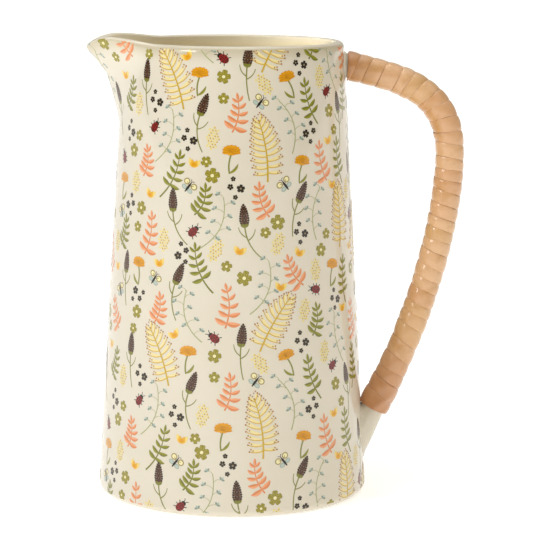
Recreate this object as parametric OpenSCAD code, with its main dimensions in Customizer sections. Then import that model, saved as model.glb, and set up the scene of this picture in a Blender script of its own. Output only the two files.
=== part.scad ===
// Ceramic pitcher: a straight tapered jug with a beak spout and a loop handle
// that is bound from end to end with one flat strip of cane.
// The axis of the jug is Z, the foot stands on Z = 0, the spout points to -X
// and the handle to +X.

/* [Jug] */
// Height from the foot to the plane of the rim
jug_h = 241; // [220:1:260]
// Outer radius of the wall at the rim
rim_r = 58; // [56:1:60]
// Outer radius that the straight wall reaches at the foot
base_r = 72; // [70:1:74]
// Thickness of the wall
wall_t = 4.5; // [4:0.5:5]
// Thickness of the floor above the recess under the foot
floor_t = 5; // [4:0.5:7]
// Rounding between the wall and the foot
heel_r = 4.5; // [4:0.5:7]
// Rounding inside, between the wall and the floor
inner_r = 9; // [6:1:12]

/* [Foot ring] */
// Inner radius of the flat ring that the jug stands on
foot_in_r = 58; // [54:1:62]
// Depth of the recess inside that ring
foot_recess = 2; // [1:0.5:3]

/* [Spout] */
// How far the tip of the beak stands out from the rim
beak_reach = 24; // [19:0.5:25]
// How far below the rim the beak dies into the wall
beak_depth = 44; // [40:1:46]
// How far the shoulders of the lip rise above the rim
lip_rise = 2.4; // [1:0.2:4]
// Thickness of the lip at the tip
lip_t = 3; // [2.5:0.25:4]

/* [Handle] */
// How far the middle of the grip stands out from the rim
grip_reach = 57; // [53:1:61]
// Radius of the ceramic core under the cane
core_r = 6.1; // [5.5:0.1:6.2]
// Radius of the core where its upper root meets the wall
top_root_r = 7.3; // [6.6:0.1:7.6]
// Radius of the core where its lower root meets the wall
low_root_r = 8.6; // [7:0.2:9.4]

/* [Cane] */
// Inner radius of the cane's turns
cane_in_r = 6.3; // [6.3:0.05:6.5]
// Thickness of the cane strip
cane_t = 1.3; // [0.8:0.1:1.6]
// Distance from one turn of the cane to the next, along the handle
cane_pitch = 7.1; // [6.8:0.1:8]
// Gap between neighbouring turns
cane_gap = 0.3; // [0.2:0.1:0.6]

/* [Hidden] */

ivory = [0.93, 0.91, 0.84];
cane_tan = [0.88, 0.70, 0.52];

// Steps of a rounded edge and of the beak's mesh
round_steps = 8;
beak_rows = 16;
beak_columns = 52;
// The beak's mesh spans this angle on each side; the notch cuts it to size
beak_span = 62;
// The nose of the beak is eased over this angle, in degrees
nose = 4;
// The keel falls away below the rim on a long slope. At the top a short flare
// is added to it: its share of the reach, how far down it goes, and how fast
// each of the two dies out.
flare_share = 0.38;
flare_depth = 0.4 * beak_depth;
flare_power = 1.1;
slope_power = 1.2;
// How deep the lip dips between its shoulders
tip_drop = 5;
// Height above the rim that cutters reach
clear = 10;

// Half width and depth of the notch in the rim that the beak closes
notch_w = 0.72 * rim_r;
notch_d = beak_depth + 2;
notch_steps = 24;

// Steps and sides of the handle's core
core_rings = 64;
core_sides = 20;
// Lengths over which the core eases out to its two roots
top_ease = 2.6;
low_ease = 33;

// The cane: steps in one turn, how far along the handle its upper edge lies,
// how much that edge leans with the wall, and how much of the handle's lower
// end stays bare
turn_steps = 16;
cane_from = 7.2;
cane_lean = 1.6;
bare_end = 33.5;
// Width of the strip at its two pointed ends
cane_tip = 1;

function bump(x) = let (t = min(1, max(0, x))) t * t * (3 - 2 * t);

// ---- Jug ------------------------------------------------------------------

// Outer radius of the wall at height z
function wall_r(z) = base_r - (base_r - rim_r) * z / jug_h;

// Points on an arc, from angle a to angle b
function arc(x, z, r, a, b) =
    [for (i = [0:round_steps]) let (t = a + (b - a) * i / round_steps)
        [x + r * cos(t), z + r * sin(t)]];

module jug_profile() {
    lip = wall_t / 2;
    bed = foot_recess + floor_t;
    polygon(concat(
        [[0, foot_recess], [foot_in_r - foot_recess, foot_recess], [foot_in_r, 0]],
        arc(wall_r(heel_r) - heel_r, heel_r, heel_r, -90, -3),
        arc(rim_r - lip, jug_h - lip, lip, 0, 180),
        arc(wall_r(bed + inner_r) - wall_t - inner_r, bed + inner_r, inner_r, -3, -90),
        [[0, bed]]
    ));
}

// The prism that cuts the notch for the beak, seen from -X as half an ellipse
module notch() {
    outline = concat(
        [[notch_w, jug_h + clear], [-notch_w, jug_h + clear]],
        [for (i = [0:notch_steps]) let (t = 180 * i / notch_steps)
            [-notch_w * cos(t), jug_h - notch_d * sin(t)]]
    );
    translate([-(rim_r + 2 * beak_reach), 0, 0])
        rotate([90, 0, 90])
            linear_extrude(height = rim_r + beak_reach)
                polygon(outline);
}

module jug_body() {
    color(ivory)
        difference() {
            rotate_extrude($fn = 128) jug_profile();
            notch();
        }
}

// ---- Beak spout -------------------------------------------------------------

// How far the keel of the beak stands out from the wall, at a depth below the rim
function keel(depth) =
    beak_reach * (
        (1 - flare_share) * pow(max(0, 1 - depth / beak_depth), slope_power)
        + flare_share * pow(max(0, 1 - depth / flare_depth), flare_power));

// Radius of the beak's skin at angle a from the keel: straight flanks that run
// from the nose to where they touch the round wall, moved in by inset
function beak_r(a, z, inset) =
    let (
        wall = wall_r(z),
        half = acos(wall / (wall + keel(jug_h - z))),
        flank = max(0, half + nose - sqrt(a * a + nose * nose))
    )
    (wall - inset) / cos(flank);

// Height of the lip above the rim: up to a shoulder on each side, down at the tip
function lip_h(a) =
    lip_rise * bump((46 - abs(a)) / 30)
    - (lip_rise + tip_drop) * pow(max(0, 1 - sqrt(a * a + 9) / 17), 1.7);

function skin_t(a) = lip_t + (wall_t - lip_t) * bump(abs(a) / 40);

// One column of the beak: up the outside, over the round lip and down the inside
function beak_column(a) =
    let (
        t = skin_t(a),
        top = jug_h + lip_h(a) - t / 2,
        low = jug_h - beak_depth - 4,
        out_r = beak_r(a, top, 0),
        in_r = beak_r(a, top, t),
        mid = (out_r + in_r) / 2
    )
    concat(
        [for (i = [0:beak_rows - 1]) let (z = low + (top - low) * i / beak_rows)
            [beak_r(a, z, 0), z]],
        [for (i = [0:round_steps]) let (f = 180 * i / round_steps)
            [mid + (out_r - mid) * cos(f), top + t / 2 * sin(f)]],
        [for (i = [beak_rows - 1:-1:0]) let (z = low + (top - low) * i / beak_rows)
            [beak_r(a, z, t), z]]
    );

module beak_skin() {
    n = 2 * beak_rows + round_steps + 1;
    points = [for (j = [0:beak_columns])
        let (a = beak_span * (2 * j / beak_columns - 1))
        for (p = beak_column(a)) [-p[0] * cos(a), -p[0] * sin(a), p[1]]];
    sides = [for (j = [0:beak_columns - 1], i = [0:n - 1])
        let (k = (i + 1) % n)
        each [
            [j * n + i, (j + 1) * n + k, j * n + k],
            [j * n + i, (j + 1) * n + i, (j + 1) * n + k]
        ]];
    near = [for (i = [0:n - 1]) i];
    far = [for (i = [n - 1:-1:0]) beak_columns * n + i];
    polyhedron(points, concat(sides, [near, far]), convexity = 6);
}

module beak_spout() {
    color(ivory)
        intersection() {
            beak_skin();
            notch();
        }
}

// ---- Handle -----------------------------------------------------------------

// The handle's middle line, in the XZ plane: two cubic curves that share a
// vertical tangent at the grip's furthest point
grip_x = rim_r + grip_reach;
arm = [[rim_r - 5, jug_h - 11], [rim_r + 23, jug_h - 19],
       [grip_x, jug_h - 20], [grip_x, jug_h - 60]];
leg = [[grip_x, jug_h - 60], [grip_x, jug_h - 93],
       [grip_x - 14, jug_h / 3], [base_r - 13, jug_h / 16]];
curve_steps = 60;

function cubic(p, t) =
    pow(1 - t, 3) * p[0] + 3 * pow(1 - t, 2) * t * p[1]
    + 3 * (1 - t) * t * t * p[2] + pow(t, 3) * p[3];

line = concat(
    [for (i = [0:curve_steps - 1]) cubic(arm, i / curve_steps)],
    [for (i = [0:curve_steps]) cubic(leg, i / curve_steps)]
);
// Distance along the line at each of its points
reach = [for (i = 0, s = 0; i < len(line);
    s = s + (i + 1 < len(line) ? norm(line[i + 1] - line[i]) : 0), i = i + 1) s];
line_l = reach[len(reach) - 1];
x_at = [for (i = [0:len(line) - 1]) [reach[i], line[i][0]]];
z_at = [for (i = [0:len(line) - 1]) [reach[i], line[i][1]]];

function spot(s) = [lookup(s, x_at), lookup(s, z_at)];

// The point at distance s along the line, turned by angle f and r away from it
function around(s, f, r) =
    let (
        d = spot(min(line_l, s + 1)) - spot(max(0, s - 1)),
        t = d / norm(d),
        p = spot(s)
    )
    [p[0] - r * cos(f) * t[1], r * sin(f), p[1] + r * cos(f) * t[0]];

// Closed tube through rings of n points each
module tube(points, n) {
    rings = len(points) / n;
    sides = [for (j = [0:rings - 2], i = [0:n - 1])
        let (k = (i + 1) % n)
        each [
            [j * n + i, j * n + k, (j + 1) * n + k],
            [j * n + i, (j + 1) * n + k, (j + 1) * n + i]
        ]];
    near = [for (i = [n - 1:-1:0]) i];
    far = [for (i = [0:n - 1]) (rings - 1) * n + i];
    polyhedron(points, concat(sides, [near, far]), convexity = 10);
}

// Where the cane's upper edge lies, at angle f round the handle
function cane_edge(f) = cane_from - cane_lean * cos(f);

// The core swells towards its two roots, outside the cane
function core_at(s, f) =
    core_r
    + (top_root_r - core_r) * pow(min(1, max(0, (cane_edge(f) - s) / top_ease)), 2)
    + (low_root_r - core_r) * bump((s - line_l + low_ease) / low_ease);

module handle_core() {
    color(ivory)
        difference() {
            tube([for (j = [0:core_rings], i = [0:core_sides - 1])
                let (s = line_l * pow(j / core_rings, 1.15), f = 360 * i / core_sides)
                around(s, f, core_at(s, f))], core_sides);
            cylinder(h = jug_h, r1 = base_r, r2 = rim_r, $fn = 128);
        }
}

// ---- Cane -------------------------------------------------------------------

// The strip winds round the core as one helix. It starts and ends as a wedge,
// so that the binding has a straight edge at the top and at the bottom.
module cane_wrap() {
    half = (cane_pitch - cane_gap) / 2;
    out_r = cane_in_r + cane_t;
    last = line_l - bare_end;
    first = cane_edge(180) + cane_tip - half;
    steps = floor((last - cane_tip + half - first) / cane_pitch * turn_steps);
    color(cane_tan)
        tube([for (j = [0:steps])
            let (
                s = first + cane_pitch * j / turn_steps,
                f = 180 + 360 * j / turn_steps,
                low = max(s - half, cane_edge(f)),
                high = min(s + half, last)
            )
            each [around(low, f, cane_in_r), around(high, f, cane_in_r),
                  around(high, f, out_r), around(low, f, out_r)]], 4);
}

jug_body();
beak_spout();
handle_core();
cane_wrap();
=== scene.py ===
import math
import random

import bpy
import numpy as np
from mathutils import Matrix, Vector


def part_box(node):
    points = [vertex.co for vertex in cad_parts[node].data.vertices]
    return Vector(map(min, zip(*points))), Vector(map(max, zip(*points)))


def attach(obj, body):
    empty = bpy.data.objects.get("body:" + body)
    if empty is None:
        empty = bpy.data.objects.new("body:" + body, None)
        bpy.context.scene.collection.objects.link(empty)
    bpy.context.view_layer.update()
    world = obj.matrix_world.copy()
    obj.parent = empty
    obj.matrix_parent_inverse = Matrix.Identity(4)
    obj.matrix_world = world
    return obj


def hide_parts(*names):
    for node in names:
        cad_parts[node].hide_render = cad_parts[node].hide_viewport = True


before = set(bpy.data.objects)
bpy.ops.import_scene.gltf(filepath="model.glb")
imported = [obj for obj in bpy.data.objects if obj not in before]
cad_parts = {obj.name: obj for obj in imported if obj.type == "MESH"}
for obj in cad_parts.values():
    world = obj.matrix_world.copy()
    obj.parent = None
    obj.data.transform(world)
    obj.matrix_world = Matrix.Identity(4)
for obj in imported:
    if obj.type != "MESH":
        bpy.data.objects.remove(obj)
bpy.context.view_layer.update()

# Lengths are in millimetres until a mesh is made. Angles are in degrees. On the
# jug, an angle is measured from the front (-Y) and grows towards the handle (+X),
# so the beak is at -90.
MM = 0.001

# The jug, as in the frame's own design
JUG_H = 1000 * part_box("jug_body")[1].z
RIM_R = 58
BASE_R = 72
WALL_T = 4.5
FLOOR_Z = 7
HEEL_R = 4.5
FOOT_IN_R = 58
FOOT_RECESS = 2
INNER_R = 9
# The wall leans in by about this angle, so its roundings start or end there
WALL_LEAN = -3
# The underside: the fillet at the recess's edge, the slant of the ring's inner
# side, and the rounding where the ring meets the table
FOOT_FILLET = 0.8
FOOT_SLANT = 2.2
FOOT_EDGE_R = 0.7
FOOT_EDGE_IN = 0.6
# Columns round the jug, closer at the beak, and rows up its wall, closer at the lip
JUG_COLUMNS = 288
JUG_ROWS = 72
BEAK_CROWDING = 1.3
LIP_CROWDING = 1.25

# The beak: its keel falls away on a long slope, with a short flare at the top
BEAK_ANGLE = -90
BEAK_REACH = 24
BEAK_DEPTH = 44
SLOPE_POWER = 1.2
FLARE_SHARE = 0.38
FLARE_DEPTH = 0.4 * BEAK_DEPTH
FLARE_POWER = 1.1
NOSE = 4

# The lip: two shoulders, a dip at the tip between them, and a wall that thins
LIP_RISE = 2.4
SHOULDER_END = 46
SHOULDER_W = 30
TIP_DROP = 5
DIP_W = 17
DIP_NOSE = 3
DIP_POWER = 1.7
LIP_T = 3
LIP_T_W = 40

# The lip's rounding: tall and soft on the outside, tight on the inside
LIP_OUT_W = 2.5
LIP_OUT_H = 3.2
LIP_IN_H = 1.2

# The handle's core: its swell at the lower root, the fillet where it meets the
# wall, and how deep its ends are sunk in the wall
CORE_R = 6.1
LOW_SWELL = 2.6
LOW_SWELL_FROM = 40
LOW_SWELL_W = 34
FILLET = 0.8
FILLET_W = 1.8
ROOT_SINK = 1.2

# The cane: CANE_FROM and BARE_END are measured from the two ends of the handle,
# and its first turn is partly cut away
CANE_IN_R = 6.25
CANE_T = 1.3
CANE_FROM = 7.2
CANE_LEAN = 1.6
CANE_CUT = 6.2
BARE_END = 33.5
CANE_WIDTHS = (5.6, 6.4, 7.0, 7.6, 8.4, 9.4)
CANE_STEPS = 48
CANE_TUCK = 0.5
CANE_TURN_L = 46
# Towards its lower end the binding is thicker
CANE_SWELL = 0.7
CANE_SWELL_FROM = 30
CANE_SWELL_W = 20
# It is darker in tone over these lengths at its top and bottom
DARK_TOP = 14
DARK_LOW = 46

# The strip's tail runs slanting under the last turns and lifts them in a ridge
TAIL_RISE = 1.15
TAIL_L = 13
TAIL_ANGLE = -96
TAIL_SLANT = 3.4
TAIL_W = 15


# ---- Small helpers -----------------------------------------------------------

def bump(x):
    """A smooth step: 0 up to 0, 1 from 1 on."""
    t = np.clip(x, 0, 1)
    return t * t * (3 - 2 * t)


def turned(angle):
    """An angle brought into -180..180."""
    return (np.asarray(angle, float) + 180) % 360 - 180


def make_mesh(name, points, faces, materials, slots=None, normals=None):
    """A mesh object from points in millimetres, with smooth shading."""
    mesh = bpy.data.meshes.new(name)
    mesh.from_pydata((np.asarray(points) * MM).tolist(), [], [tuple(f) for f in faces])
    for material in materials:
        mesh.materials.append(material)
    if slots is not None:
        mesh.polygons.foreach_set("material_index", np.asarray(slots, np.int32))
    mesh.polygons.foreach_set("use_smooth", np.ones(len(mesh.polygons), bool))
    if normals is not None:
        mesh.normals_split_custom_set_from_vertices(np.asarray(normals).tolist())
    mesh.update()
    piece = bpy.data.objects.new(name, mesh)
    bpy.context.collection.objects.link(piece)
    return piece


def add_values(piece, name, values):
    """One number per point, for the material to read."""
    layer = piece.data.attributes.new(name, "FLOAT", "POINT")
    layer.data.foreach_set("value", np.asarray(values, np.float32))


def tube_faces(rings, sides):
    """Quads between neighbouring rings of points that are stored ring by ring."""
    faces = []
    for ring in range(rings - 1):
        here = ring * sides
        after = here + sides
        for i in range(sides):
            k = (i + 1) % sides
            faces.append((here + i, here + k, after + k, after + i))
    return faces


# ---- Material helpers --------------------------------------------------------

def new_material(name):
    """A material with its nodes and links."""
    material = bpy.data.materials.new(name)
    material.use_nodes = True
    return material, material.node_tree.nodes, material.node_tree.links


def shader(material, **values):
    """Sets sockets of the material's Principled shader by name."""
    node = material.node_tree.nodes["Principled BSDF"]
    for key, value in values.items():
        node.inputs[key.replace("_", " ")].default_value = value
    return node


def stored(nodes, name):
    """The values that add_values stored under a name."""
    node = nodes.new("ShaderNodeAttribute")
    node.attribute_name = name
    return node.outputs["Fac"]


def noise(nodes, links, vector, scale, detail, rough=0.5):
    """A noise pattern, from 0 to 1."""
    node = nodes.new("ShaderNodeTexNoise")
    node.inputs["Scale"].default_value = scale
    node.inputs["Detail"].default_value = detail
    node.inputs["Roughness"].default_value = rough
    links.new(vector, node.inputs["Vector"])
    return node.outputs["Fac"]


def remap(nodes, links, value, low, high):
    """A value spread out so that low becomes 0 and high becomes 1."""
    node = nodes.new("ShaderNodeMapRange")
    node.inputs["From Min"].default_value = low
    node.inputs["From Max"].default_value = high
    links.new(value, node.inputs["Value"])
    return node.outputs["Result"]


def relief(nodes, links, height, strength, distance):
    """The normal of a fine relief, from a height value."""
    node = nodes.new("ShaderNodeBump")
    node.inputs["Strength"].default_value = strength
    node.inputs["Distance"].default_value = distance
    links.new(height, node.inputs["Height"])
    return node.outputs["Normal"]


def ramp(nodes, links, value, stops):
    """A colour ramp; stops are (place, colour)."""
    node = nodes.new("ShaderNodeValToRGB")
    elements = node.color_ramp.elements
    while len(elements) < len(stops):
        elements.new(0.5)
    for element, (place, colour) in zip(elements, stops):
        element.position = place
        element.color = (*colour, 1)
    links.new(value, node.inputs["Fac"])
    return node.outputs["Color"]


def mix(nodes, links, factor, a, b, blend="MIX"):
    """Mixes two colours; a factor or a colour may be a value or a socket."""
    node = nodes.new("ShaderNodeMix")
    node.data_type = "RGBA"
    node.blend_type = blend
    for key, value in (("Factor", factor), ("A", a), ("B", b)):
        socket = node.inputs[key]
        if isinstance(value, bpy.types.NodeSocket):
            links.new(value, socket)
        elif isinstance(value, tuple):
            socket.default_value = (*value, 1)
        else:
            socket.default_value = value
    return node.outputs["Result"]


def grey(v):
    """A grey, given as the shader wants it."""
    return v, v, v


def linear(red, green, blue):
    """A colour given as 0..255 screen values, as the shader wants it."""
    def one(v):
        v /= 255
        return v / 12.92 if v <= 0.04045 else ((v + 0.055) / 1.055) ** 2.4
    return one(red), one(green), one(blue)


# ---- The jug's skin ----------------------------------------------------------

def wall_r(z):
    """Outer radius of the plain cone at a height."""
    return BASE_R - (BASE_R - RIM_R) * z / JUG_H


def keel(depth):
    """How far the beak's keel stands out from the wall, at a depth below the rim."""
    slope = np.maximum(1 - depth / BEAK_DEPTH, 0) ** SLOPE_POWER
    flare = np.maximum(1 - depth / FLARE_DEPTH, 0) ** FLARE_POWER
    return BEAK_REACH * ((1 - FLARE_SHARE) * slope + FLARE_SHARE * flare)


def skin_r(angle, z, inset=0.0):
    """Radius of the skin: a cone, with straight flanks running out to the beak."""
    a = turned(angle - BEAK_ANGLE)
    wall = wall_r(z)
    half = np.degrees(np.arccos(wall / (wall + keel(JUG_H - z))))
    flank = np.clip(half + NOSE - np.sqrt(a * a + NOSE * NOSE), 0, None)
    return (wall - inset) / np.cos(np.radians(flank))


def lip_h(angle):
    """Height of the lip above the rim: a shoulder on each side, down at the tip."""
    a = np.abs(turned(angle - BEAK_ANGLE))
    dip = np.clip(1 - np.sqrt(a * a + DIP_NOSE * DIP_NOSE) / DIP_W, 0, 1) ** DIP_POWER
    return LIP_RISE * bump((SHOULDER_END - a) / SHOULDER_W) - (LIP_RISE + TIP_DROP) * dip


def skin_t(angle):
    """Thickness of the wall: thinnest at the tip of the beak."""
    a = np.abs(turned(angle - BEAK_ANGLE))
    return LIP_T + (WALL_T - LIP_T) * bump(a / LIP_T_W)


def on_circle(angle, r, z):
    """Points in space, from angle, radius and height."""
    t = np.radians(angle)
    return np.stack([r * np.sin(t), -r * np.cos(t), z + 0 * r], axis=-1)


def drawn_in(angle, z):
    """How far the roundings at the lip and at the heel draw the skin in, at a height."""
    up = np.clip((z - JUG_H - lip_h(angle)) / LIP_OUT_H + 1, 0, 1)
    down = np.clip(1 - z / HEEL_R, 0, 1)
    lip = LIP_OUT_W * skin_t(angle) / WALL_T * (1 - np.sqrt(1 - up * up))
    heel = HEEL_R * (1 - np.sqrt(1 - down * down)) + wall_r(z) - wall_r(np.maximum(z, HEEL_R))
    return lip + heel


def on_skin(angle, z):
    """Points on the jug's outside."""
    return on_circle(angle, skin_r(angle, z, drawn_in(angle, z)), z)


def skin_frame(angle, z):
    """Point, unit normal and the lengths of one degree and of one unit of height."""
    e = 0.05
    p = on_skin(angle, z)
    du = (on_skin(angle + e, z) - on_skin(angle - e, z)) / (2 * e)
    dv = (on_skin(angle, z + e) - on_skin(angle, z - e)) / (2 * e)
    n = np.cross(du, dv)
    n /= np.linalg.norm(n, axis=-1, keepdims=True)
    return p, n, np.linalg.norm(du, axis=-1), np.linalg.norm(dv, axis=-1)


def arc(x, z, r, a, b, steps):
    """Points on an arc round (x, z), from angle a to angle b."""
    t = np.radians(np.linspace(a, b, steps))
    return [(x + r * math.cos(f), z + r * math.sin(f)) for f in t]


def jug_column(angle):
    """Radius and height down one column: foot, outside, lip, inside and floor."""
    t = float(skin_t(angle))
    crest = JUG_H + float(lip_h(angle))
    out_w = LIP_OUT_W * t / WALL_T
    in_w = t - out_w
    top = crest - LIP_OUT_H
    in_top = crest - LIP_IN_H
    # The recess, and the rounded inner edge of the ring that the jug stands on
    column = [(r, FOOT_RECESS) for r in (12, 25, 38, 48, 54)]
    column += arc(FOOT_IN_R - FOOT_SLANT, FOOT_RECESS - FOOT_FILLET, FOOT_FILLET, 90, 0, 4)
    column += arc(FOOT_IN_R + FOOT_EDGE_IN, FOOT_EDGE_R, FOOT_EDGE_R, 200, 270, 4)
    column += [(r, 0) for r in (60, 62, 64)]
    # The heel, then the outside, with rows closer together towards the lip
    column += arc(wall_r(HEEL_R) - HEEL_R, HEEL_R, HEEL_R, -90, WALL_LEAN, 14)
    heel_z = HEEL_R * (1 + math.sin(math.radians(WALL_LEAN)))
    rise = np.linspace(0, 1, JUG_ROWS)[1:-1]
    up = heel_z + (top - heel_z) * (1 - (1 - rise) ** LIP_CROWDING)
    column += [(float(skin_r(angle, z)), z) for z in up]
    # The lip: a quarter of an ellipse on each side of its crest
    for f in np.radians(np.linspace(0, 90, 13)):
        z = top + LIP_OUT_H * math.sin(f)
        column.append((float(skin_r(angle, z, out_w * (1 - math.cos(f)))), z))
    for f in np.radians(np.linspace(90, 180, 9)[1:]):
        z = in_top + LIP_IN_H * math.sin(f)
        column.append((float(skin_r(angle, z, out_w - in_w * math.cos(f))), z))
    # The inside, the rounding at its foot, and the floor
    low = FLOOR_Z + INNER_R
    down = low + (in_top - low) * (1 - rise)
    column += [(float(skin_r(angle, z, t)), z) for z in down]
    floor_r = float(skin_r(angle, low, t)) - INNER_R
    column += arc(floor_r, low, INNER_R, WALL_LEAN, -90, 10)
    column += [(floor_r * f, FLOOR_Z) for f in (0.85, 0.65, 0.45, 0.25, 0.1)]
    return column


def make_jug(glaze):
    """Body and beak as one skin, with its columns closest together at the beak."""
    u = np.linspace(-1, 1, JUG_COLUMNS + 1)[:-1]
    angles = BEAK_ANGLE + 180 * np.sign(u) * np.abs(u) ** BEAK_CROWDING
    profile = np.array([jug_column(a) for a in angles])
    columns, rows = profile.shape[:2]
    points = on_circle(angles[:, None], profile[:, :, 0], profile[:, :, 1])
    points = points.transpose(1, 0, 2).reshape(-1, 3)
    faces = tube_faces(rows, columns)
    # A fan of triangles closes the underside, and another the floor
    points = np.vstack([points, [(0, 0, FOOT_RECESS), (0, 0, FLOOR_Z)]])
    under, floor = rows * columns, rows * columns + 1
    last = (rows - 1) * columns
    for i in range(columns):
        k = (i + 1) % columns
        faces.append((under, k, i))
        faces.append((floor, last + i, last + k))
    piece = make_mesh("jug_glazed", points, faces, [glaze])
    # For the glaze: 1 on the inside, where a lighter, warmer tint is painted bounce light, and 1 in
    # a soft band outside, up to 9 below the lip, where it is darker
    height = profile[:, :, 1]
    past_lip = np.arange(rows) > np.argmax(height, axis=1)[:, None]
    below = height.max(axis=1)[:, None] - height
    inside = np.where(past_lip, bump(below / 2.5), 0)
    add_values(piece, "inside", np.append(inside.T.reshape(-1), [0, 1]))
    # A band of darker glaze colour outside, just under the lip
    thin = np.where(past_lip, 0, bump((9 - below) / 8) * bump((below - 0.4) / 1.2))
    add_values(piece, "lip_band", np.append(thin.T.reshape(-1), [0, 0]))
    return piece


# ---- Handle ------------------------------------------------------------------

# The handle's middle line in the XZ plane, as in the CAD: two cubic curves that
# share a vertical tangent at the grip's furthest point
GRIP_X = RIM_R + 57
ARM = [
    (RIM_R - 5, JUG_H - 11), (RIM_R + 23, JUG_H - 19),
    (GRIP_X, JUG_H - 20), (GRIP_X, JUG_H - 60)]
LEG = [
    (GRIP_X, JUG_H - 60), (GRIP_X, JUG_H - 93),
    (GRIP_X - 14, JUG_H / 3), (BASE_R - 13, JUG_H / 16)]


def cubic(p, t):
    """Points on a cubic curve with four control points."""
    p = np.array(p, float)
    t = t[:, None]
    ends = (1 - t) ** 3 * p[0] + t ** 3 * p[3]
    return ends + 3 * (1 - t) ** 2 * t * p[1] + 3 * (1 - t) * t * t * p[2]


LINE_STEPS = np.linspace(0, 1, 400)
LINE = np.vstack([cubic(ARM, LINE_STEPS[:-1]), cubic(LEG, LINE_STEPS)])
REACH = np.concatenate([[0], np.cumsum(np.linalg.norm(np.diff(LINE, axis=0), axis=1))])
LINE_L = REACH[-1]


def around(s, f, r):
    """Points at distance s along the handle, r from its line, at angle f round it."""
    s = np.asarray(s, float)
    f = np.radians(f)
    ahead = [np.interp(s + 0.5, REACH, LINE[:, k]) for k in (0, 1)]
    behind = [np.interp(s - 0.5, REACH, LINE[:, k]) for k in (0, 1)]
    tx, tz = ahead[0] - behind[0], ahead[1] - behind[1]
    size = np.hypot(tx, tz)
    tx, tz = tx / size, tz / size
    x, z = (np.interp(s, REACH, LINE[:, k]) for k in (0, 1))
    return np.stack([x - r * np.cos(f) * tz, r * np.sin(f), z + r * np.cos(f) * tx], axis=-1)


def make_core(glaze):
    """The ceramic core, with a soft fillet where it meets the wall."""
    rings, sides = 260, 64
    s = np.linspace(0, LINE_L, rings)[:, None] + np.zeros(sides)
    f = np.linspace(0, 360, sides, endpoint=False) + np.zeros((rings, 1))
    r = np.full(s.shape, CORE_R) + LOW_SWELL * bump((s - LINE_L + LOW_SWELL_FROM) / LOW_SWELL_W)
    bare = around(s, f, r)
    off_wall = np.hypot(bare[..., 0], bare[..., 1]) - wall_r(bare[..., 2])
    r += FILLET * np.clip(1 - off_wall / FILLET_W, 0, 1) ** 2
    points = around(s, f, r).reshape(-1, 3)
    # Points deeper in the wall than ROOT_SINK are pushed out to that depth
    sunk_r = wall_r(points[:, 2]) - ROOT_SINK
    push = np.maximum(1, sunk_r / np.hypot(points[:, 0], points[:, 1]))
    points[:, :2] *= push[:, None]
    faces = tube_faces(rings, sides)
    faces.append(tuple(range(sides - 1, -1, -1)))
    faces.append(tuple((rings - 1) * sides + i for i in range(sides)))
    return make_mesh("handle_glazed", points, faces, [glaze])


# ---- Cane --------------------------------------------------------------------

def make_cane(cane):
    """One strip, wound as a helix: each turn's far edge is tucked under the next."""
    rng = random.Random(7)
    last = LINE_L - BARE_END
    # Where each turn begins, along the handle
    edges = [CANE_FROM + CANE_LEAN - CANE_CUT]
    while edges[-1] < last + 9:
        edges.append(edges[-1] + rng.choice(CANE_WIDTHS))
    turns = len(edges) - 2
    t = np.arange(turns * CANE_STEPS + 1) / CANE_STEPS
    k = np.arange(len(edges))
    wave = [rng.uniform(0, 360) for _ in range(2)]

    def edge(t):
        """Distance along the handle of the strip's near edge, after t turns."""
        part = t - np.floor(t)
        even = np.interp(np.floor(t) + (bump(part) + part) / 2, k, edges)
        slow = 0.24 * np.sin(np.radians(wave[0] + 290 * t))
        fast = 0.18 * np.sin(np.radians(wave[1] + 610 * t))
        return even + slow + fast

    def per_turn(low, high):
        """A random value for each turn, eased from one turn to the next."""
        return np.interp(t, k, [rng.uniform(low, high) for _ in k])

    f = 180 + 360 * t
    # The binding's two ends are straight: the strip is cut to a wedge there
    low = np.maximum(edge(t), CANE_FROM - CANE_LEAN * np.cos(np.radians(f)))
    high = np.minimum(edge(t + 1) + CANE_TUCK, last)
    keep = high - low > 0.6
    t, f, low, high = t[keep], f[keep], low[keep], high[keep]

    # Section of the strip: crowned on top, rounded at its near edge, flat below
    across = np.array([-1, -0.99, -0.95, -0.86, -0.6, -0.2, 0.2, 0.6, 0.84, 1, 1, 0, -0.8])
    height = np.array([0.3, 0.62, 0.76, 0.86, 1.0, 1.08, 1.08, 0.99, 0.86, 0.72, 0, 0, 0])
    swell = per_turn(-0.08, 0.34)
    tilt = per_turn(-0.12, 0.26)
    mid, half = (low + high) / 2, (high - low) / 2
    s = mid[:, None] + half[:, None] * across
    off_tail = turned(f[:, None] - TAIL_ANGLE - TAIL_SLANT * (last - s))
    tail = TAIL_RISE * np.exp(-((off_tail / TAIL_W) ** 2)) * bump((s - last + TAIL_L) / 4)
    low_end = CANE_SWELL * bump((s - last + CANE_SWELL_FROM) / CANE_SWELL_W)
    r = CANE_IN_R + (CANE_T + swell[:, None]) * height - tilt[:, None] * across + tail + low_end
    points = around(s, f[:, None], r).reshape(-1, 3)
    n = len(across)
    faces = [tuple(reversed(face)) for face in tube_faces(len(t), n)]
    faces.append(tuple(range(n)))
    faces.append(tuple((len(t) - 1) * n + i for i in range(n - 1, -1, -1)))
    piece = make_mesh("cane_binding", points, faces, [cane])
    add_values(piece, "across", np.tile(across, len(t)))
    add_values(piece, "along", np.repeat(t * CANE_TURN_L, n))
    add_values(piece, "tone", np.repeat(per_turn(0, 1), n))
    end_darkening = np.maximum(1 - (s - CANE_FROM) / DARK_TOP, 1 - (last - s) / DARK_LOW)
    add_values(piece, "end_darkening", np.clip(end_darkening, 0, 1).reshape(-1))
    return piece


# ---- Materials ---------------------------------------------------------------

# Colour under a clear coat of glaze
GLOSS = {
    "Roughness": 0.5,
    "Specular_IOR_Level": 0.1,
    "Coat_Weight": 1.0,
    "Coat_Roughness": 0.03,
    "Coat_IOR": 1.5,
}


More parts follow.
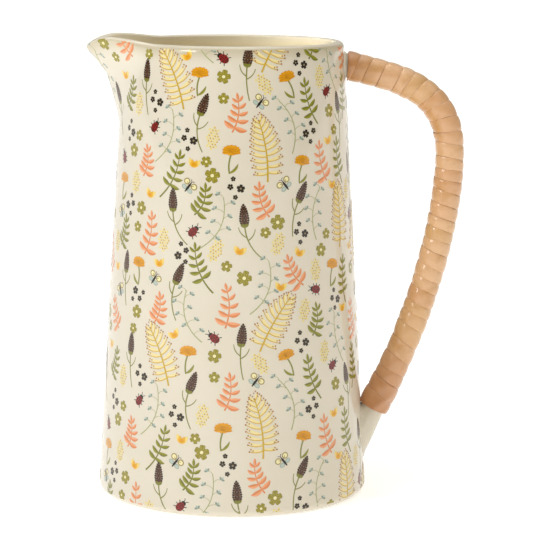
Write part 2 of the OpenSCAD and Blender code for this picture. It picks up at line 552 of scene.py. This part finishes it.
def glaze_skin(nodes, links):
    """The faint waviness of fired glaze, in its clear coat."""
    place = nodes.new("ShaderNodeTexCoord").outputs["Object"]
    waves = relief(nodes, links, noise(nodes, links, place, 140, 2), 0.05, 0.0004)
    links.new(waves, nodes["Principled BSDF"].inputs["Coat Normal"])


def glaze_material():
    """Ivory glaze: cloudy in two shades, lighter and warmer inside with painted bounce light, and
    darker in a band under the lip.
    """
    material, nodes, links = new_material("ivory_glaze")
    place = nodes.new("ShaderNodeTexCoord").outputs["Object"]
    cloud = noise(nodes, links, place, 22, 4)
    colour = ramp(nodes, links, cloud, [
        (0.3, linear(231, 223, 205)),
        (0.7, linear(227, 218, 198))])
    # The inside's tint is painted bounce light: lighter and warmer than the outer glaze
    for name, tint in (("lip_band", linear(207, 196, 168)), ("inside", linear(246, 233, 196))):
        colour = mix(nodes, links, stored(nodes, name), colour, tint)
    node = shader(material, **GLOSS)
    links.new(colour, node.inputs["Base Color"])
    glaze_skin(nodes, links)
    return material


def cane_material():
    """Peeled cane: long fibres, ochre patches, darker ends and uneven dark joints."""
    material, nodes, links = new_material("peeled_cane")
    place = nodes.new("ShaderNodeTexCoord").outputs["Object"]
    across = stored(nodes, "across")
    # The fibres: noise drawn out along the strip
    join = nodes.new("ShaderNodeCombineXYZ")
    links.new(across, join.inputs["X"])
    links.new(stored(nodes, "along"), join.inputs["Y"])
    stretch = nodes.new("ShaderNodeMapping")
    stretch.inputs["Scale"].default_value = (6, 0.12, 1)
    links.new(join.outputs["Vector"], stretch.inputs["Vector"])
    fibre = noise(nodes, links, stretch.outputs["Vector"], 2.2, 6, 0.65)
    base = ramp(nodes, links, stored(nodes, "tone"), [
        (0.0, linear(222, 168, 118)),
        (0.35, linear(230, 180, 132)),
        (0.65, linear(236, 190, 142)),
        (1.0, linear(220, 172, 112))])
    streak = ramp(nodes, links, fibre, [(0.3, (0.86, 0.8, 0.72)), (0.62, grey(1.0))])
    colour = mix(nodes, links, 0.5, base, streak, "MULTIPLY")
    # Ochre patches, and a darker tone near the binding's two ends
    ochre = ramp(nodes, links, noise(nodes, links, place, 85, 3), [
        (0.54, grey(0.0)),
        (0.74, grey(0.8))])
    colour = mix(nodes, links, ochre, colour, linear(206, 150, 80))
    ends_darker = ramp(nodes, links, stored(nodes, "end_darkening"), [
        (0.0, grey(0.0)),
        (0.5, grey(0.4)),
        (0.8, grey(0.55)),
        (1.0, grey(0.8))])
    colour = mix(nodes, links, ends_darker, colour, linear(186, 116, 56))
    # The near edge of each turn is dark in places
    near = remap(nodes, links, across, -0.9, -0.985)
    worn = ramp(nodes, links, noise(nodes, links, place, 60, 2), [
        (0.42, grey(0.0)),
        (0.56, grey(1.0))])
    dark = mix(nodes, links, near, grey(0.0), worn)
    colour = mix(nodes, links, dark, colour, linear(134, 84, 44))
    node = shader(
        material, Roughness=0.45, Coat_Weight=0.9, Coat_Roughness=0.12, IOR=1.5,
        Sheen_Weight=0.25, Sheen_Roughness=0.35)
    links.new(colour, node.inputs["Base Color"])
    links.new(relief(nodes, links, fibre, 0.35, 0.0002), node.inputs["Normal"])
    return material


# ---- Print: drawing kit --------------------------------------------------------
# A drawing is a list of shapes laid flat, in millimetres across and up. A shape is
# its points, its faces, one ink for each face, and the layer it is printed in.

def curve(start, end, bend, steps):
    """A path between two points that bulges to its left by bend."""
    start, end = np.array(start, float), np.array(end, float)
    t = np.linspace(0, 1, steps + 1)[:, None]
    along = end - start
    left = np.array([-along[1], along[0]]) / np.hypot(*along)
    return start + along * t + left * bend * 4 * t * (1 - t)


def toward(at, lean, length):
    """The point at a length from another, with lean clockwise from straight up."""
    lean = math.radians(lean)
    return at[0] + length * math.sin(lean), at[1] + length * math.cos(lean)


def along_path(path, t):
    """A point part of the way along a path, and its lean there."""
    place = t * (len(path) - 1)
    i = min(int(place), len(path) - 2)
    step = path[i + 1] - path[i]
    return path[i] + step * (place - i), math.degrees(math.atan2(step[0], step[1]))


def stroke(path, width, ink, other=None, layer=0):
    """A ribbon down a path, with one ink on its left half and another on its right."""
    path = np.asarray(path, float)
    ahead = np.gradient(path, axis=0)
    ahead /= np.linalg.norm(ahead, axis=1, keepdims=True)
    left = np.stack([-ahead[:, 1], ahead[:, 0]], axis=1)
    left *= (np.zeros(len(path)) + width)[:, None] / 2
    points = np.stack([path + left, path, path - left], axis=1).reshape(-1, 2)
    faces, inks = [], []
    for k in range(0, 3 * len(path) - 3, 3):
        faces += [(k, k + 1, k + 4, k + 3), (k + 1, k + 2, k + 5, k + 4)]
        inks += [ink, other or ink]
    return points, faces, inks, layer


def leaf(at, lean, length, width, ink, other=None, bend=0.0, layer=1):
    """A blade that is widest at its middle and ends in a point."""
    t = np.linspace(0, 1, 8)
    body = np.sin(np.pi * (0.08 + 0.9 * t)) ** 0.8
    return stroke(curve(at, toward(at, lean, length), bend, 7), width * body, ink, other, layer)


def blob(at, across, up, ink, lean=0, lobes=0, depth=0.0, layer=1, sides=14):
    """A filled round patch, or a lobed one; across and up are its half sizes."""
    f = np.radians(np.arange(sides) * 360 / sides)
    r = 1 + depth * np.cos(lobes * f)
    ring = np.stack([across * r * np.sin(f), up * r * np.cos(f)], axis=1)
    points = np.vstack([[(0, 0)], ring / 2, ring])
    faces = []
    for i in range(sides):
        k = (i + 1) % sides
        faces += [(0, 1 + k, 1 + i), (1 + i, 1 + k, 1 + sides + k, 1 + sides + i)]
    s, c = math.sin(math.radians(lean)), math.cos(math.radians(lean))
    points = points @ np.array([[c, -s], [s, c]]) + at
    return points, faces, [ink] * len(faces), layer


def dot(at, r, ink, layer=1):
    """A small filled dot with eight sides."""
    f = np.radians(45 * np.arange(8))
    ring = np.stack([r * np.sin(f), r * np.cos(f)], axis=1)
    points = np.vstack([[(0, 0)], ring]) + at
    faces = [(0, 1 + (i + 1) % 8, 1 + i) for i in range(8)]
    return points, faces, [ink] * 8, layer


# ---- Print: motifs -------------------------------------------------------------

def moved(shapes, at, lean):
    """A drawing turned and shifted on the sheet."""
    s, c = math.sin(math.radians(lean)), math.cos(math.radians(lean))
    turn = np.array([[c, -s], [s, c]])
    return [(points @ turn + at, faces, inks, layer) for points, faces, inks, layer in shapes]


def sprig(stem, leafy, pairs, big, small, plump, bend, ink, other):
    """Leaves in pairs up a bent stem, smaller and steeper towards the tip."""
    whole = stem + leafy + small
    path = curve((0, -whole / 2), (0, whole / 2 - small), bend, 12)
    shapes = [stroke(path, np.linspace(0.85, 0.4, 13), other, layer=0)]
    for k in range(pairs):
        part = k / (pairs - 1)
        size = big + (small - big) * part
        for side in (-1, 1):
            at, lean = along_path(path, (stem + 0.94 * leafy * part) / (stem + leafy) + 0.01 * side)
            out = lean + side * (80 - 34 * part)
            shapes.append(leaf(at, out, size, plump * size, ink, other, -0.1 * side * size))
    shapes.append(leaf(path[-1], lean, small, plump * small, ink, other))
    return shapes


def olive_sprig(bend, stem, leafy):
    """Olive leaves on a stem that is bare below."""
    return sprig(stem, leafy, 5, 5.8, 4.0, 0.38, bend, "olive", "olive_deep")


def coral_sprig(bend, leafy):
    """Coral leaves nearly down to the foot of the stem."""
    return sprig(2.6, leafy, 5, 5 + 0.1 * leafy, 3.8, 0.4, bend, "coral", "coral_deep")


def fern(bend):
    """A broad frond: pale branches, each on a gold line with dots at its end."""
    path = curve((0, -17.5), (0, 14), bend, 16)
    shapes = [stroke(path, np.linspace(0.9, 0.5, 17), "gold_deep", layer=2)]
    pairs = 10
    for k in range(pairs):
        part = k / (pairs - 1)
        reach = 4.2 + 4.6 * math.sin(math.pi * (0.2 + 0.8 * part)) ** 0.8
        for side in (-1, 1):
            at, lean = along_path(path, 0.14 + 0.82 * part + 0.01 * side)
            out = lean + side * (92 - 56 * part)
            twig = curve(at, toward(at, out, reach), -0.09 * side * reach, 6)
            pale = curve(at, toward(at, out - side * 9, 0.96 * reach), -0.06 * side * reach, 7)
            width = 1.5 * np.array([0.5, 0.9, 1, 1, 0.95, 0.85, 0.6, 0.2])
            shapes.append(stroke(pale, width, "gold_pale", layer=0))
            shapes.append(stroke(twig, np.linspace(0.55, 0.4, 7), "gold", layer=1))
            for back, up in ((0, 0), (0.9, 1.1), (1.9, 0.2)):
                spot = (twig[-1][0] - side * back, twig[-1][1] + up)
                shapes.append(dot(spot, 0.46 - 0.05 * back, "rust", layer=3))
    shapes.append(dot(path[-1], 0.5, "rust", layer=3))
    return shapes


def marigold(side):
    """A flattened golden head with a ragged edge, on a stem with one side leaf."""
    shapes = [stroke(curve((0, -2), (-0.9 * side, -12), -0.8 * side, 8), 0.8, "green", layer=0)]
    shapes.append(leaf((-0.9 * side, -11.6), 42 * side, 6.4, 1.4, "green", "olive", -0.8 * side))
    shapes.append(blob((0, 0), 4.5, 2.6, "marigold", lobes=13, depth=0.07, layer=1, sides=52))
    for k in range(9):
        lean = -92 + 23 * k
        reach = 4.8 - 2.0 * math.cos(math.radians(lean)) ** 2
        shapes.append(leaf((0, -1.3), lean, reach, 1.5, "marigold", "amber", layer=2))
    return shapes


def flower(size, ink, other, heart):
    """Five blunt petals with fine lines, round a pale heart."""
    shapes = []
    for k in range(5):
        lean = 72 * k
        at = toward((0, 0), lean, 0.3 * size)
        shapes.append(blob(at, 0.19 * size, 0.2 * size, ink, lean + 45, 4, 0.1, sides=20))
        if size > 5.5:
            for off in (-18, 18):
                start = toward((0, 0), lean + off, 0.18 * size)
                end = toward((0, 0), lean + off, 0.38 * size)
                shapes.append(stroke(curve(start, end, 0, 2), 0.045 * size, other, layer=2))
    shapes.append(blob((0, 0), 0.2 * size, 0.2 * size, ink, layer=1, sides=10))
    shapes.append(dot((0, 0), 0.12 * size, heart, layer=3))
    return shapes


def dark_cluster(side):
    """Four charcoal flowers, one of them larger."""
    spots = (
        (4.4, 2.6, -0.6, 10),
        (3.3, -2.6, 0.6, 40),
        (2.7, -0.9, 4.6, 0),
        (2.7, -0.4, -4.8, 25))
    shapes = []
    for size, across, up, lean in spots:
        shapes += moved(flower(size, "charcoal", "grey", "taupe"), (across * side, up), lean)
    return shapes


def spike(sway):
    """A dark seed head in rows of grains, on a forked stem whose foot sways aside."""
    stem = curve((0, -4.5), (sway, -22), -0.27 * sway, 12)
    shapes = [stroke(stem, np.linspace(0.7, 0.5, 13), "green", layer=0)]
    for side, place in ((-1, 0.3), (1, 0.38)):
        fork, _ = along_path(stem, place)
        shoot = curve(fork, (fork[0] + side * 4, fork[1] + 5.6), -side * 0.9, 6)
        shapes.append(stroke(shoot, np.linspace(0.6, 0.36, 7), "green", layer=0))
    shapes.append(blob((0, -3.7), 2.1, 1.7, "green", layer=0, sides=16))
    for across in (-1.2, 0, 1.2):
        foot = (across, -5.0 + abs(across) / 3)
        shapes.append(leaf(foot, 14 * across, 1.9, 1.1, "olive_deep", layer=1))
    # Half widths of the rows of grains, from the bottom row up
    halves = (2.2, 2.5, 2.5, 2.35, 2.15, 1.9, 1.6, 1.15)
    for row, half in enumerate(halves):
        up = -2.9 + 1.18 * row
        shapes.append(blob((0, up), half - 0.3, 0.8, "bark", layer=1, sides=12))
        count = 4 if row % 2 else 3
        gap = (half - 0.4) / (count - 1)
        for k in range(count):
            across = (half - 0.4) * (2 * k / (count - 1) - 1)
            shapes.append(blob((across, up), 0.52, 0.66, "umber", 16 * across, layer=2, sides=7))
            if k and row % 2:
                shapes.append(dot((across - gap, up + 0.3), 0.2, "taupe", layer=3))
    shapes.append(blob((0, 6.2), 0.6, 0.8, "umber", layer=2, sides=8))
    return shapes


def ladybird():
    """A red shell with a dark line and spots, a head, feelers and six legs."""
    shapes = []
    for side in (-1, 1):
        for up, lean in ((1.2, 50), (0, 90), (-1.3, 128)):
            start = (side * 1.3, up)
            leg = curve(start, toward(start, side * lean, 1.9), 0, 1)
            shapes.append(stroke(leg, 0.42, "black", layer=0))
        feeler = curve((side * 0.4, 3.2), (side * 1.4, 5.2), side * 0.2, 3)
        shapes.append(stroke(feeler, 0.34, "black", layer=0))
    shapes.append(blob((0, 2.7), 1.4, 1.1, "black", layer=1, sides=12))
    shapes.append(blob((0, 0), 2.1, 2.8, "crimson", layer=2, sides=18))
    shapes.append(stroke(curve((0, -2.6), (0, 2.4), 0, 2), 0.34, "black", layer=3))
    for side in (-1, 1):
        for across, up in ((1.05, 1.2), (1.2, -0.4), (0.75, -1.8)):
            shapes.append(dot((side * across, up), 0.4, "black", layer=3))
    return shapes


def butterfly():
    """A dark body, two ringed upper wings and two pale lower ones."""
    shapes = []
    ring = np.array([toward((0, 0), 15 * k, 1) for k in range(25)])
    for side in (-1, 1):
        upper, lower = (side * 2.4, 1.7), (side * 1.9, -1.4)
        shapes.append(blob(upper, 1.5, 1.4, "cream", layer=0))
        shapes.append(blob(lower, 1.5, 1.1, "mist", layer=0))
        shapes.append(stroke(ring * (1.5, 1.4) + upper, 0.55, "khaki", layer=1))
        shapes.append(stroke(ring * (1.4, 1.0) + lower, 0.26, "slate", layer=1))
        vein = curve((side * 0.6, 0.6), (side * 2.2, 1.9), 0, 2)
        shapes.append(stroke(vein, 0.34, "khaki", layer=1))
        feeler = curve((0, 2.2), (side * 1.2, 3.8), side * 0.4, 3)
        shapes.append(stroke(feeler, 0.24, "black", layer=1))
    shapes.append(leaf((0, -3.3), 0, 6.0, 1.2, "black", layer=2))
    return shapes


def tulip():
    """A small cup of petals, paler at its sides."""
    shapes = []
    for side in (-1, 1):
        shapes.append(leaf((side * 0.9, -1.9), side * 26, 4.6, 2.3, "butter", layer=1))
        shapes.append(leaf((side * 0.4, -2.1), side * 14, 3.9, 2.2, "honey", layer=2))
    shapes.append(blob((0, -0.7), 2.1, 1.5, "honey", layer=2, sides=14))
    shapes.append(blob((0, -0.7), 1.2, 1.0, "marigold", layer=3, sides=12))
    return shapes


def dot_patch():
    """Pale seeds and darker dots that fill the outline of a leaf."""
    shapes = []
    for row in range(9):
        up = -5.6 + 1.4 * row
        width = 3.3 * math.sin(math.pi * (up + 7) / 14) ** 0.7
        for k in range(-2, 3):
            across = 1.5 * k + 0.75 * (row % 2)
            if abs(across) <= width:
                shapes.append(blob((across, up), 0.62, 0.66, "straw", layer=0, sides=8))
                if (row + 2 * k) % 3:
                    shapes.append(dot((across + 0.3, up - 0.35), 0.34, "ochre", layer=1))
    return shapes


def vine(sway, bend):
    """A long thin bowed stem with fine tendrils, each ending in a small fan of leaves."""
    stem = curve((-sway / 2, 13.5), (sway / 2, -13.5), bend, 16)
    shapes = [stroke(stem, np.linspace(0.4, 0.55, 17), "sage", layer=0)]
    for k in range(8):
        at, _ = along_path(stem, 0.02 + 0.115 * k)
        side = 1 if k % 2 else -1
        tip = (at[0] + side * (3.0 + k % 3), at[1] + 1.8)
        tendril = curve(at, tip, side * 0.8, 5)
        shapes.append(stroke(tendril, np.linspace(0.26, 0.16, 6), "sage", layer=0))
        for turn in (-62, 0, 62):
            shapes.append(leaf(tip, side * 35 + turn, 1.8, 1.1, "slate" if turn else "mist"))
    return shapes


# ---- Print: the sheet ----------------------------------------------------------
# The printed sheet goes half way round and is SHEET_H high. It comes again on the
# other half, and again above and below with a shift of SHEET_DRIFT degrees.

SHEET_H = 142
SHEET_DRIFT = 3

# The copies of each drawing; a place is an angle, a height and a lean
LAYOUT = {
    "print_marigolds": [
        (marigold(1), [(-16, 228, 0), (0, 189, 0), (36, 183, 6), (-65, 171, 0), (54, 128, 6)]),
        (marigold(-1), [(28, 226, -16), (-48, 129, 4)]),
    ],
    "print_green_flowers": [
        (flower(8.2, "moss", "moss_pale", "cream"), [
            (-76, 240, 10), (-9, 176, 8), (22, 152, 0), (6, 124, 20)]),
        (flower(7.4, "moss", "moss_pale", "cream"), [
            (-4, 226, 15), (-56, 186, 0), (-48, 157, 20), (46, 136, 5), (-48, 103, 0),
            (56, 207, 0), (74, 123, 12), (-97, 224, 0), (-90, 100, 20)]),
        (flower(5.9, "moss", "moss_pale", "cream"), [
            (-4, 215, 0), (-12, 183, 30), (-2, 130, 10), (16, 147, 25), (50, 144, 0),
            (-52, 194, 12), (60, 197, 0), (-50, 147, 0), (-50, 94, 30), (-72, 233, 0),
            (-80, 150, 8)]),
    ],
    "print_ferns": [
        (fern(-1.6), [(-31, 225, -24), (15, 190, -8), (61, 153, 0)]),
        (fern(1.4), [(21, 101, 32), (84, 140, 6)]),
    ],
    "print_coral_sprigs": [
        (coral_sprig(1.6, 13), [(15, 164, -20), (30, 127, -34), (-67, 100, -32)]),
        (coral_sprig(1.6, 16), [(49, 182, -16), (72, 97, -12), (-80, 130, -20)]),
        (coral_sprig(-1.6, 11), [(-46, 182, 10), (-35, 107, 14)]),
        (coral_sprig(-1.6, 14), [(2, 208, 10)]),
        (coral_sprig(-1.6, 17), [(-42, 145, 12), (-2, 110, 2)]),
    ],
    "print_olive_sprigs": [
        (olive_sprig(1.8, 7, 15), [(42, 213, -22), (64, 181, -14), (64, 119, -4)]),
        (olive_sprig(2.4, 9, 15), [(-13, 129, -24)]),
        (olive_sprig(-1.8, 6, 15), [(72, 214, 6)]),
        (olive_sprig(-2.4, 9, 15), [(-30, 176, 28)]),
        (olive_sprig(-1.8, 2, 12), [
            (-14, 164, 24), (-62, 144, 20), (41, 101, 14), (-62, 216, 22)]),
    ],
    "print_seed_spikes": [
        (spike(3), [(-48, 227, 2), (8, 236, 6), (-58, 127, 4), (-78, 213, -14)]),
        (spike(8), [(-28.5, 162, -2), (6, 155, -4), (-14, 211, 20), (-24.5, 124.5, 22)]),
        (spike(5), [(35, 166, 28)]),
        (spike(-3), [(65, 210, -10), (78, 177, -8)]),
    ],
    "print_ladybirds": [
        (ladybird(), [
            (-4, 235, -52), (-41, 199, 40), (-66, 181, -20), (-18, 147, 46), (42, 116, -80),
            (54, 217, 60), (76, 151, 30), (-87, 123, 30)]),
    ],
    "print_butterflies": [
        (butterfly(), [
            (14, 213, 38), (-20.5, 170, 38), (26, 171, -38), (-66, 153, -24),
            (-37.5, 121.5, 34), (-63, 112, -24), (82, 110, 30), (-95, 209, 24)]),
    ],
    "print_tulips": [
        (tulip(), [
            (-68, 224, 0), (-23, 236, -30), (-18, 182, 10), (-42, 165, 20), (54, 192, -10),
            (56, 169, 10), (4, 138, 12), (33, 136, 20), (-35, 130, -6), (23, 119, 8),
            (61, 104, 0), (-68, 124, 0), (73, 135, -12), (-96, 237, 8), (-88, 111, 0)]),
    ],
    "print_dark_flowers": [
        (dark_cluster(1), [
            (36, 232, 0), (-40.5, 212.5, 0), (-21, 194, 0), (2, 170, -4), (-60, 196, 10),
            (55, 109.5, 0), (34, 146, 0), (-86, 170, 0)]),
        (dark_cluster(-1), [(41, 197, 0), (-23, 136, -20), (-48, 112, 60), (-57, 158, 0)]),
    ],
    "print_dotted_leaves": [
        (dot_patch(), [
            (16, 222, -34), (49, 225, 4), (-53.5, 210, 0), (-9, 195, 8), (-53, 170, 0),
            (-33, 142, 0), (-7, 138, 26), (22, 141, 20), (35, 106, 10), (42, 126, 0),
            (-70, 137, 0), (72, 165, 6)]),
    ],
    "print_vines": [
        (vine(-10, 5), [(-35, 195, 0), (-9, 152, 4), (13, 119, 0)]),
        (vine(-4, -4), [(45, 155, 0), (86, 188, 0)]),
        (vine(7, 5), [(27, 200, 0)]),
        (vine(7, -5), [(-16.5, 104, -4)]),
        (vine(7, -3), [(60, 231, 0), (-85, 223, 24)]),
    ],
}

# The inks, as 0..255 screen values
INKS = {
    "olive": (150, 148, 44), "olive_deep": (122, 122, 38), "green": (136, 136, 62),
    "moss": (148, 138, 42), "moss_pale": (182, 168, 72), "cream": (246, 236, 180),
    "coral": (243, 166, 118), "coral_deep": (224, 138, 84), "sage": (172, 174, 120),
    "gold": (214, 178, 70), "gold_deep": (208, 172, 48), "gold_pale": (244, 226, 162),
    "straw": (240, 222, 140), "ochre": (200, 150, 66), "rust": (176, 124, 70),
    "marigold": (228, 158, 10), "amber": (210, 140, 4), "honey": (240, 182, 52),
    "butter": (246, 218, 122), "crimson": (142, 24, 20), "black": (30, 26, 20),
    "charcoal": (50, 42, 30), "grey": (84, 72, 56), "taupe": (150, 132, 100),
    "bark": (98, 62, 38), "umber": (62, 38, 22), "khaki": (162, 146, 90),
    "slate": (144, 160, 146), "mist": (186, 200, 188),
}

# The lowest ink stands PRINT_LIFT off the skin and each layer LAYER_LIFT more. All
# reach PRINT_DEPTH down, so that no gap shows.
PRINT_LIFT = 0.06
LAYER_LIFT = 0.02
PRINT_DEPTH = 0.25

# The print runs from PRINT_FOOT up to a margin below the lip, which is narrow on
# the beak. Drawings whose middle is further than SHEET_EDGE off the jug are left out.
PRINT_FOOT = 2.6
TOP_MARGIN = 0.7
TOP_MARGIN_MORE = 1.1
TOP_MARGIN_W = 60
SHEET_EDGE = 20

# No drawing has its middle within ROOT_ROOM of the handle's roots. A degree round
# the wall is about MM_PER_DEGREE long.
ROOT_HEIGHTS = (JUG_H - 14, 40)
ROOT_ROOM = 12
MM_PER_DEGREE = 1.1


def print_top(angle):
    """Height that the print runs up to: nearly the crest on the beak, lower elsewhere."""
    off_beak = bump(np.abs(turned(angle - BEAK_ANGLE)) / TOP_MARGIN_W)
    return JUG_H + lip_h(angle) - TOP_MARGIN - TOP_MARGIN_MORE * off_beak


def keep_above(polygon, room):
    """The part of a polygon where room, given at its points, is above zero."""
    kept = []
    for i in range(len(polygon)):
        a, b = room[i - 1], room[i]
        if (a > 0) != (b > 0):
            kept.append(polygon[i - 1] + (polygon[i] - polygon[i - 1]) * a / (a - b))
        if b > 0:
            kept.append(polygon[i])
    return kept


def thicken(points, normals, faces, slots):
    """Closes a sheet of faces into a thin solid whose underside sits in the glaze."""
    count = len(points)
    points = np.vstack([points, points - normals * PRINT_DEPTH])
    normals = np.vstack([normals, -normals])
    sides = {}
    for face, slot in zip(faces, slots):
        for a, b in zip(face, face[1:] + face[:1]):
            if (b, a) in sides:
                del sides[b, a]
            else:
                sides[a, b] = slot
    walls = [(b, a, a + count, b + count) for a, b in sides]
    under = [tuple(k + count for k in reversed(face)) for face in faces]
    return points, normals, faces + under + walls, slots + slots + list(sides.values())


def near_handle(angle, z):
    """True where the handle's roots stand on the wall."""
    aside = MM_PER_DEGREE * turned(angle - 90)
    return any(math.hypot(aside, z - root) < ROOT_ROOM for root in ROOT_HEIGHTS)


def sheet_places(spots):
    """Every angle, height and lean that the sheet's repeats give to a drawing."""
    for spot_angle, spot_z, lean in spots:
        for half in (0, 180):
            for row in (1, 0, -1):
                angle = turned(spot_angle + half + SHEET_DRIFT * row)
                z = spot_z + SHEET_H * row
                on_jug = -SHEET_EDGE <= z <= JUG_H + SHEET_EDGE
                if on_jug and not near_handle(angle, z):
                    yield angle, z, lean


def trimmed(at, faces, inks):
    """A shape's parts inside the print's margins: lists of points, faces and inks."""
    room = np.minimum(at[:, 1] - PRINT_FOOT, print_top(at[:, 0]) - at[:, 1])
    if room.max() <= 0:
        return []
    if room.min() > 0:
        return [(at, faces, inks)]
    parts = []
    for face, ink in zip(faces, inks):
        cut = keep_above(at[list(face)], room[list(face)])
        if len(cut) > 2:
            parts.append((np.array(cut), [tuple(range(len(cut)))], [ink]))
    return parts


def print_piece(name, drawings, inks):
    """Lays every copy of a motif on the jug's skin as one thin piece."""
    places, rises, faces, used = [], [], [], []
    copies = [(drawing, place) for drawing, spots in drawings for place in sheet_places(spots)]
    for drawing, (angle, z, lean) in copies:
        # A drawing whose middle is off the jug takes its scale from the edge
        _, _, wide, high = skin_frame(angle, min(max(z, HEEL_R + 1), JUG_H - 4))
        for points, shape_faces, shape_inks, layer in moved(drawing, (0, 0), lean):
            at = np.stack([angle + points[:, 0] / wide, z + points[:, 1] / high], axis=1)
            for part, part_faces, part_inks in trimmed(at, shape_faces, shape_inks):
                count = len(rises)
                places.append(part)
                rises += [layer] * len(part)
                faces += [tuple(count + k for k in face) for face in part_faces]
                used += part_inks
    places = np.vstack(places)
    on, normals, _, _ = skin_frame(places[:, 0], places[:, 1])
    on = on + normals * (PRINT_LIFT + LAYER_LIFT * np.array(rises))[:, None]
    names = sorted(set(used))
    slots = [names.index(ink) for ink in used]
    on, normals, faces, slots = thicken(on, normals, faces, slots)
    piece = make_mesh(name, on, faces, [inks[ink] for ink in names], slots, normals)
    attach(piece, "root")
    return piece


def ink_material(name, colour):
    """Printed colour under the same clear glaze as the jug."""
    material, nodes, links = new_material("ink_" + name)
    shader(material, Base_Color=(*linear(*colour), 1), **GLOSS)
    glaze_skin(nodes, links)
    return material


# ---- The pieces --------------------------------------------------------------

glaze = glaze_material()
cane = cane_material()

jug = make_jug(glaze)
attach(jug, "root")
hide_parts("jug_body", "beak_spout")

core = make_core(glaze)
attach(core, "root")
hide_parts("handle_core")

binding = make_cane(cane)
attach(binding, "root")
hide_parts("cane_wrap")

inks = {name: ink_material(name, colour) for name, colour in INKS.items()}
for name, drawings in LAYOUT.items():
    print_piece(name, drawings, inks)


# ---- Stage -------------------------------------------------------------------

# Half the floor's side, and how far it lies below the foot
FLOOR_HALF = 12000
FLOOR_GAP = 0.1


def make_floor():
    """A pale floor that glows a little, just below the foot."""
    material, _, _ = new_material("pale_floor")
    shader(
        material, Base_Color=(*grey(0.94), 1), Roughness=0.9,
        Emission_Color=(1, 1, 1, 1), Emission_Strength=0.42)
    ways = ((-1, -1), (1, -1), (1, 1), (-1, 1))
    corners = [(x * FLOOR_HALF, y * FLOOR_HALF, -FLOOR_GAP) for x, y in ways]
    floor = make_mesh("floor", corners, [(0, 1, 2, 3)], [material])


def make_sky():
    """A white studio: brightest overhead, dimmer at the sides, and glowing behind."""
    world = bpy.data.worlds.new("studio")
    world.use_nodes = True
    nodes, links = world.node_tree.nodes, world.node_tree.links
    parts = nodes.new("ShaderNodeSeparateXYZ")
    links.new(nodes.new("ShaderNodeTexCoord").outputs["Generated"], parts.inputs["Vector"])
    upward = ramp(nodes, links, parts.outputs["Z"], [
        (0.0, grey(0.35)),
        (0.45, grey(0.54)),
        (0.8, grey(1.25)),
        (1.0, grey(3.2))])
    sideways = ramp(nodes, links, remap(nodes, links, parts.outputs["X"], -1, 1), [
        (0.1, grey(0.34)),
        (0.4, (0.5, 0.49, 0.47)),
        (0.54, (0.75, 0.73, 0.68)),
        (0.9, (0.5, 0.46, 0.39))])
    colour = mix(nodes, links, 1.0, upward, sideways, "MULTIPLY")
    behind = ramp(nodes, links, parts.outputs["Y"], [
        (0.8, grey(1.0)),
        (0.98, (2.0, 2.0, 1.9))])
    colour = mix(nodes, links, 1.0, colour, behind, "MULTIPLY")
    links.new(colour, nodes["Background"].inputs["Color"])
    nodes["Background"].inputs["Strength"].default_value = 1.0
    bpy.context.scene.world = world


def make_light(name, place, aim, size, power, spread=180):
    """A soft lamp that faces aim; its light spreads no wider than spread. Metres."""
    light = bpy.data.lights.new(name, "AREA")
    light.shape = "RECTANGLE"
    light.size, light.size_y = size
    light.energy = power
    light.spread = math.radians(spread)
    lamp = bpy.data.objects.new(name, light)
    lamp.location = place
    lamp.rotation_mode = "QUATERNION"
    lamp.rotation_quaternion = (Vector(aim) - Vector(place)).to_track_quat("-Z", "Y")
    bpy.context.collection.objects.link(lamp)


# The camera, in metres and degrees
EYE = (0.0212, -1.27, 0.315)
LOOK_DOWN = 8.92
ROLL = -0.38


def make_camera():
    """The photo's view: from the front, with a long lens, slightly from above."""
    camera = bpy.data.cameras.new("camera")
    camera.lens = 157
    camera.sensor_width = 36
    camera.clip_end = 100
    eye = bpy.data.objects.new("camera", camera)
    eye.location = EYE
    eye.rotation_euler = (math.radians(90 - LOOK_DOWN), math.radians(ROLL), 0)
    bpy.context.collection.objects.link(eye)
    bpy.context.scene.camera = eye


make_floor()
# A window's light from the front left, and a weak, narrow lamp for the inner wall
make_light("window_left", (-1.1, -1.0, 0.78), (0, 0, 0.12), (0.5, 0.5), 7.4)
make_light("mouth_lamp", (-0.30, -0.14, 0.42), (0.05, 0.03, 0.226), (0.05, 0.05), 0.009, 12)
make_camera()
make_sky()
bpy.context.scene.view_settings.view_transform = "Standard"
